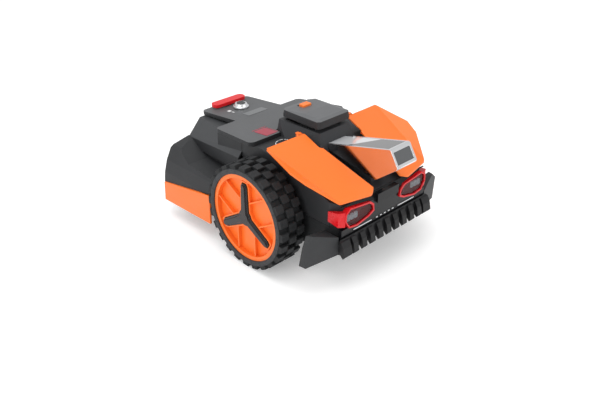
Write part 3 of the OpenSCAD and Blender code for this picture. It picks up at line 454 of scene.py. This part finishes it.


# ---- Camera head ---------------------------------------------------------------------
# A mirror-bright shell on a moulded foot. The top glass is dark, with a painted reflection
# in light grey over its rear and left part; the camera barrels stand behind the front window.

silver_finish = Finish("head_silver", Metallic=1.0)
haze = silver_finish.cloud(16, 4, 0.6)
smear = silver_finish.steps(silver_finish.cloud(5, 5, 0.65), 0.5, 0.75)
silver_finish.set(Base_Color=silver_finish.blend(haze, (0.66, 0.67, 0.69), (0.76, 0.77, 0.79)),
                  Roughness=0.11 + 0.07 * haze + 0.06 * smear,
                  Normal=silver_finish.bump(silver_finish.cloud(240, 2), 0.000012))
rounded("camera_shell", "head_shell", silver_finish, 0.0016)
glass_finish = lacquered("dark_glass", (0.030, 0.033, 0.037), 0.06, ripple=0.00001,
                         Coat_Weight=1.0, Coat_Roughness=0.02)
# Painted reflection: a light grey band over the top glass's rear and left part, bounded by a
# slanted line, stands in for the lights mirrored in it.
slant = 0.9
reflection_from, reflection_full = -0.200, -0.192
reflection_edge = glass_finish.axis(1) + slant * glass_finish.axis(0)
painted_reflection_share = glass_finish.steps(reflection_edge, reflection_from, reflection_full)
glass_finish.set(Base_Color=glass_finish.blend(painted_reflection_share, (0.020, 0.022, 0.026), (0.60, 0.61, 0.63)))
rounded("camera_glass", "top_glass", glass_finish, 0.0006)
pane_finish = lacquered("window_glass", (0.062, 0.066, 0.070), 0.07, ripple=0.00001,
                        Coat_Weight=1.0, Coat_Roughness=0.02)
rounded("camera_window", "front_window", pane_finish, 0.0006)
barrel_finish = lacquered("lens_black", (0.006, 0.006, 0.008), 0.12, Coat_Weight=0.8)
rounded("camera_modules", "camera_barrels", barrel_finish, 0.0005)
foot_finish = moulded("foot_black", (0.018, 0.018, 0.020), 0.6)
rounded("camera_bracket", "head_foot", foot_finish, 0.0012)


# ---- Controls ------------------------------------------------------------------------
# The red stop bar across the tail is a moulded push bar. The selector ahead of it is turned
# metal with a dark cap. Two smooth windows, one grey and one red, are let into the slab.

stop_finish = lacquered("stop_red", (0.64, 0.007, 0.012), 0.32)
rounded("stop_button", "stop_bar", stop_finish, 0.0030, corner=17)
knob_finish = Finish("knob_silver", Metallic=1.0)
turned = knob_finish.cloud(1.0, 3, 0.6, knob_finish.stretched(Scale=(120, 120, 2600)))
knob_finish.set(Base_Color=knob_finish.blend(turned, (0.66, 0.67, 0.69), (0.86, 0.87, 0.88)),
                Roughness=0.2 + 0.18 * turned, Normal=knob_finish.bump(turned, 0.00003))
rounded("select_knob", "selector", knob_finish, 0.0008)
window_finish = lacquered("console_patch", (0.125, 0.130, 0.135), 0.3)
rounded("console_window", "console_patch", window_finish, 0.0, corner=17)
patch_finish = lacquered("status_red", (0.33, 0.020, 0.045), 0.35)
rounded("status_display", "status_patch", patch_finish, 0.0, corner=17)

# Thin printed marks lie on the slab and the deck. The slab's top falls towards the tail by
# this share of its length.
slab_lo, slab_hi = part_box("top_slab")
slab_fall = 0.0947


def slab_top(y):
    return slab_hi.z - slab_fall * (y - slab_lo.y)


def strip(name, path, across, width, thick, finish, body):
    """A flat closed bar along a path: at each point of the path a rectangle stands across
    it, width wide and thick high, and the rectangle shrinks to a point at both ends."""
    across = np.broadcast_to(across, path.shape)
    up = np.array([0.0, 0.0, 1.0])
    signs = np.array([(-1, 0), (1, 0), (1, 1), (-1, 1)])
    ring = (path[:, None, :] + signs[None, :, :1] * across[:, None, :] * width / 2
            + signs[None, :, 1:] * up * thick)
    ends = [np.repeat(ring[i].mean(0)[None, None, :], 4, 1) for i in (0, -1)]
    obj = surface(name, np.concatenate([ends[0], ring, ends[1]]), wrap_v=True)
    finished_mark(obj, finish, body)


same_mark_point = 1e-6


def finished_mark(obj, finish, body):
    """Merges coinciding points, turns every face outwards, and adds finish and body."""
    shape = bmesh.new()
    shape.from_mesh(obj.data)
    bmesh.ops.remove_doubles(shape, verts=shape.verts, dist=same_mark_point)
    bmesh.ops.dissolve_degenerate(shape, dist=same_mark_point, edges=shape.edges)
    bmesh.ops.recalc_face_normals(shape, faces=shape.faces)
    shape.to_mesh(obj.data)
    shape.free()
    obj.data.materials.append(finish.material)
    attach(obj, body)


mark_white = lacquered("mark_white", (0.72, 0.72, 0.72), 0.4)
mark_red = lacquered("mark_red", (0.60, 0.02, 0.05), 0.4)
mark_grey = lacquered("mark_grey", (0.22, 0.225, 0.23), 0.4)
aside = np.array([1.0, 0.0, 0.0])


def slab_line(name, start, end, width, finish):
    """A line on the slab between two places, given as (x, y), that follows its slope."""
    share = np.linspace(0, 1, 5)[:, None]
    flat = np.array(start) + share * (np.array(end) - np.array(start))
    path = np.column_stack([flat, slab_top(flat[:, 1])])
    along = path[-1] - path[0]
    across = np.cross(along / np.linalg.norm(along), [0.0, 0.0, 1.0])
    strip(name, path, across, width, 0.5 * mm, finish, "mower")


patch_lo, patch_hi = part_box("status_display")
patch_front, patch_rear = patch_lo.y + 2 * mm, patch_hi.y - 2 * mm
slab_line("patch_line_rear", (patch_lo.x, patch_hi.y + 6 * mm),
          (patch_hi.x + 9 * mm, patch_hi.y + 6 * mm), 1.1 * mm, mark_red)
slab_line("patch_line_side", (patch_hi.x + 4 * mm, patch_front), (patch_hi.x + 4 * mm, patch_rear),
          0.8 * mm, mark_red)
window_lo, window_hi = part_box("console_window")
for i, share in enumerate(np.linspace(0.08, 0.92, 9)):
    x = window_lo.x + share * (window_hi.x - window_lo.x)
    slab_line("window_bar_%d" % (i + 1), (x, window_lo.y + 4 * mm), (x, window_hi.y - 4 * mm),
              1.4 * mm, mark_grey)

knob_lo, knob_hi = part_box("select_knob")
knob_x, knob_y = 0.0, (knob_lo.y + knob_hi.y) / 2
mark_x = knob_x - 37 * mm
slab_line("mark_square", (mark_x, knob_y + 8 * mm), (mark_x, knob_y - 2 * mm),
          9 * mm, mark_white)
slab_line("mark_bar", (mark_x, knob_y - 8 * mm), (mark_x, knob_y - 17 * mm),
          3 * mm, mark_white)


def lathe(name, radii, heights, centre, parts, finish, body):
    """A turned piece: the profile's radius and height, carried round a vertical axis."""
    turn_at = np.linspace(0, 2 * math.pi, parts, endpoint=False)[:, None]
    radii, heights = np.array(radii)[None, :], np.array(heights)[None, :]
    points = np.stack([centre[0] + radii * np.cos(turn_at), centre[1] + radii * np.sin(turn_at),
                       heights + 0 * turn_at], -1)
    obj = surface(name, points, wrap_u=True)
    finished_mark(obj, finish, body)
    obj.data.shade_smooth()
    obj.data.set_sharp_from_angle(angle=math.radians(35))


cap_r = 11.5 * mm
cap_finish = lacquered("cap_dark", (0.020, 0.021, 0.024), 0.3)
lathe("selector_cap", [0, cap_r, cap_r, cap_r - 0.6 * mm, 4 * mm, 3 * mm, 0],
      knob_hi.z + np.array([-1, -1, 0.4, 0.9, 0.9, 0.6, 0.6]) * mm, (knob_x, knob_y), 48,
      cap_finish, "knob")
pointer_z = knob_hi.z - 0.3 * mm
pointer_path = np.array([[knob_x, knob_y + 12.6 * mm, pointer_z],
                         [knob_x, knob_y + 14.6 * mm, pointer_z]])
strip("selector_pointer", pointer_path, aside, 2.2 * mm, 0.6 * mm, mark_red, "knob")

# A broken ring printed on the deck, which rises towards the rear: its place along the
# machine and its height at two points.
ring_x, ring_y, ring_r = -90 * mm, -36 * mm, 23 * mm
deck_y = np.array([-96, -14]) * mm
deck_z = np.array([256, 263.2]) * mm
dash_count = 12
for i in range(dash_count):
    turn_at = np.linspace(i + 0.12, i + 0.88, 7) * 2 * math.pi / dash_count
    out = np.column_stack([np.cos(turn_at), np.sin(turn_at), 0 * turn_at])
    path = np.array([ring_x, ring_y, 0]) + ring_r * out
    path[:, 2] = np.interp(path[:, 1], deck_y, deck_z)
    strip("deck_ring_%02d" % (i + 1), path, out, 1.7 * mm, 0.45 * mm, mark_white, "mower")


# ---- Drive wheels --------------------------------------------------------------------
# A rubber tyre moulded with three staggered rows of lugs is pressed over the black hub
# barrel. The ribbed orange disc closes the barrel, with the three-armed black insert over
# the hub.

rubber_finish = moulded("tyre_rubber", (0.017, 0.018, 0.019), 0.66, grain=900.0,
                        mottle=0.22, dust=0.0)
tyre_lo, tyre_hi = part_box("tyre_r")
axle_y, axle_z = (tyre_lo.y + tyre_hi.y) / 2, (tyre_lo.z + tyre_hi.z) / 2
from_axle = ((rubber_finish.axis(1) - axle_y) ** 2 + (rubber_finish.axis(2) - axle_z) ** 2) ** 0.5
tyre_r = (tyre_hi.z - tyre_lo.z) / 2
# The sidewall below the lug roots is coloured an even, lighter grey than the tread.
sidewall_tone = rubber_finish.steps(from_axle, tyre_r - 8.5 * mm, tyre_r - 10.5 * mm)
lug_top = rubber_finish.steps(from_axle, tyre_r - 2.5 * mm, tyre_r - 0.2 * mm)
mottled = rubber_finish.cloud(45, 4, 0.6)
tread = rubber_finish.blend(lug_top * mottled, (0.013, 0.014, 0.015), (0.026, 0.027, 0.029))
rubber_finish.set(Base_Color=rubber_finish.blend(sidewall_tone, tread, (0.040, 0.042, 0.045)))
wheel_finish = lacquered("wheel_orange", (0.86, 0.165, 0.018), 0.38)
star_finish = lacquered("star_black", (0.008, 0.008, 0.009), 0.26, Specular_IOR_Level=0.4)
barrel_black = moulded("rim_black", (0.018, 0.019, 0.020), 0.6)

lug_count = 24
lug_height = 9 * mm
tyre_depth = 21 * mm


def tyre_piece(name, node):
    """The tyre as a closed ring of cross-sections. The section runs up the outer sidewall,
    over the tread, down the inner side and back through the bore. On the tread a point's
    radius is the carcass radius plus the lug height times two windows, one round the
    wheel and one across the row: each is 1 inside a lug, falls steeply at its wall and is
    0 in the groove."""
    lo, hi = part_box(node)
    sign = math.copysign(1, lo.x + hi.x)
    across = hi.x - lo.x
    outer = (hi.z - lo.z) / 2
    centre_y, centre_z = (hi.y + lo.y) / 2, (hi.z + lo.z) / 2
    carcass = outer - lug_height
    bore = outer - tyre_depth
    pitch = 2 * math.pi / lug_count
    wall = np.radians([3.70, 4.02, 4.20, 4.50, 4.80])
    from_lug = np.concatenate([-wall[::-1], np.radians([-2.2, 0.0, 2.2]), wall])
    both_rows = np.sort(np.concatenate([from_lug, from_lug + pitch / 2]))
    angle = (np.arange(lug_count)[:, None] * pitch + both_rows[None, :]).ravel()

    # Each row: where it starts and ends as a share of the width, and its shift in pitches.
    rows = ((0.0, 0.30, 0.0), (0.34, 0.64, 0.5), (0.68, 0.985, 0.0))
    edge = np.array([0.0, 0.004, 0.012, 0.026])
    edge_rise = np.array([0.0, 0.93, 0.985, 1.0])
    stops, share, phase = [], [], []
    for start, end, shift in rows:
        middle = np.linspace(start + 0.07, end - 0.07, 4)
        stops.append(np.concatenate([start + edge, middle, end - edge[::-1]]))
        share.append(np.concatenate([edge_rise, np.ones(4), edge_rise[::-1]]))
        phase.append(np.full(len(stops[-1]), shift))
    stops, share, phase = (np.concatenate(part) for part in (stops, share, phase))

    beyond = np.abs((angle[:, None] / pitch - phase[None, :] + 0.5) % 1.0 - 0.5) * pitch
    window = np.interp(beyond, np.concatenate([[0.0], wall]), [1, 1, 0.97, 0.90, 0.04, 0.0])
    scoop = 1 - 0.10 * np.exp(-(beyond / np.radians(1.3)) ** 2) * (share[None, :] > 0.999)
    tread_r = carcass + (outer - carcass) * window * share[None, :] * scoop
    tread_u = np.broadcast_to(stops * across, tread_r.shape)

    shoulder = np.interp(np.abs((angle / pitch + 0.5) % 1.0 - 0.5) * pitch,
                         np.radians([0.0, 4.2, 4.9]), [1, 1, 0.0])[:, None]
    side_u = np.array([1.0, 0.994, 0.994, 1.0, 0.998, 0.985, 0.983])
    side_r = bore + (carcass - bore) * np.array([0.08, 0.20, 0.26, 0.34, 0.62, 0.72, 0.98])
    block_u = np.array([0, 0, 0, 0, 0.001, 0.014, 0.012])
    wall_u = (side_u[None, :] + block_u[None, :] * shoulder) * across
    wall_r = np.broadcast_to(side_r, wall_u.shape)
    inner_u = np.zeros((len(angle), 2))
    inner_r = np.broadcast_to([carcass - 1 * mm, bore + 1.5 * mm], inner_u.shape)
    bore_u = np.broadcast_to(np.array([0.02, 0.985]) * across, (len(angle), 2))
    bore_r = np.full(bore_u.shape, bore)

    u = np.concatenate([bore_u, wall_u, tread_u[:, ::-1], inner_u], 1)
    r = np.concatenate([bore_r, wall_r, tread_r[:, ::-1], inner_r], 1)
    inner_x = hi.x if sign < 0 else lo.x
    points = np.stack([inner_x + sign * u, centre_y - r * np.cos(angle)[:, None],
                       centre_z + r * np.sin(angle)[:, None]], -1)
    obj = surface(name, points, wrap_u=True, wrap_v=True)
    obj.data.materials.append(rubber_finish.material)
    obj.data.shade_smooth()
    obj.data.set_sharp_from_angle(angle=math.radians(32))
    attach(obj, body_of(node))
    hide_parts(node)


for side, tail in sides:
    tyre_piece("tyre_" + side, "tyre_" + tail)
    rounded("wheel_rim_" + tail, "wheel_barrel_" + side, barrel_black, 0.0008)
    rounded("wheel_disc_" + tail, "wheel_face_" + side, wheel_finish, 0.0011)
    rounded("wheel_star_" + tail, "wheel_insert_" + side, star_finish, 0.0013)


# ---- Running gear and cutting unit ---------------------------------------------------
# Die-cast gearmotors drive the wheels on steel shafts, and coated forks carry the two rubber
# casters. Under the tub the cutter motor, its steel disc with three swinging blades and the
# skid plate hang from a carriage that a screw raises on four steel posts.

steel_finish = Finish("shaft_steel", Metallic=1.0)
streak = steel_finish.cloud(140, 4, 0.6)
steel_finish.set(Base_Color=steel_finish.blend(streak, (0.42, 0.43, 0.45), (0.60, 0.61, 0.62)),
                 Roughness=0.22 + 0.25 * streak, Normal=steel_finish.bump(streak, 0.00004))
motor_finish = moulded("motor_case", (0.075, 0.078, 0.082), 0.42, grain=800.0, Metallic=0.6)
fork_finish = moulded("fork_coat", (0.045, 0.047, 0.050), 0.4, grain=1000.0, Metallic=0.3)
caster_finish = moulded("caster_rubber", (0.028, 0.029, 0.031), 0.68, grain=800.0)
carriage_finish = moulded("carriage_plastic", (0.030, 0.031, 0.033), 0.58)
blade_finish = Finish("blade_steel", Metallic=1.0)
scuff = blade_finish.cloud(1.0, 4, 0.65, blade_finish.stretched(Scale=(900, 120, 200)))
blade_finish.set(Base_Color=blade_finish.blend(scuff, (0.50, 0.51, 0.52), (0.74, 0.74, 0.75)),
                 Roughness=0.18 + 0.3 * scuff, Normal=blade_finish.bump(scuff, 0.00005))

for side, tail in sides:
    rounded("drive_shaft_" + tail, "shaft_" + side, steel_finish, 0.0006)
    rounded("gearmotor_" + tail, "motor_" + side, motor_finish, 0.0010)
    rounded("caster_fork_" + tail, "fork_" + side, fork_finish, 0.0008)
    rounded("caster_wheel_" + tail, "caster_roller_" + side, caster_finish, 0.0008)
rounded("lift_posts", "guide_posts", steel_finish, 0.0004)
rounded("lift_drive", "lift_screw", steel_finish, 0.0004)
rounded("lift_carriage", "carriage", carriage_finish, 0.0008)
rounded("cutter_motor", "spindle_motor", motor_finish, 0.0012)
rounded("cutting_disc", "disc_plate", blade_finish, 0.0004)
rounded("skid_plate", "skid", carriage_finish, 0.0008)
for tail, name in (("a", "one"), ("b", "two"), ("c", "three")):
    rounded("blade_" + tail, "blade_" + name, blade_finish, 0.0002, parts=2)
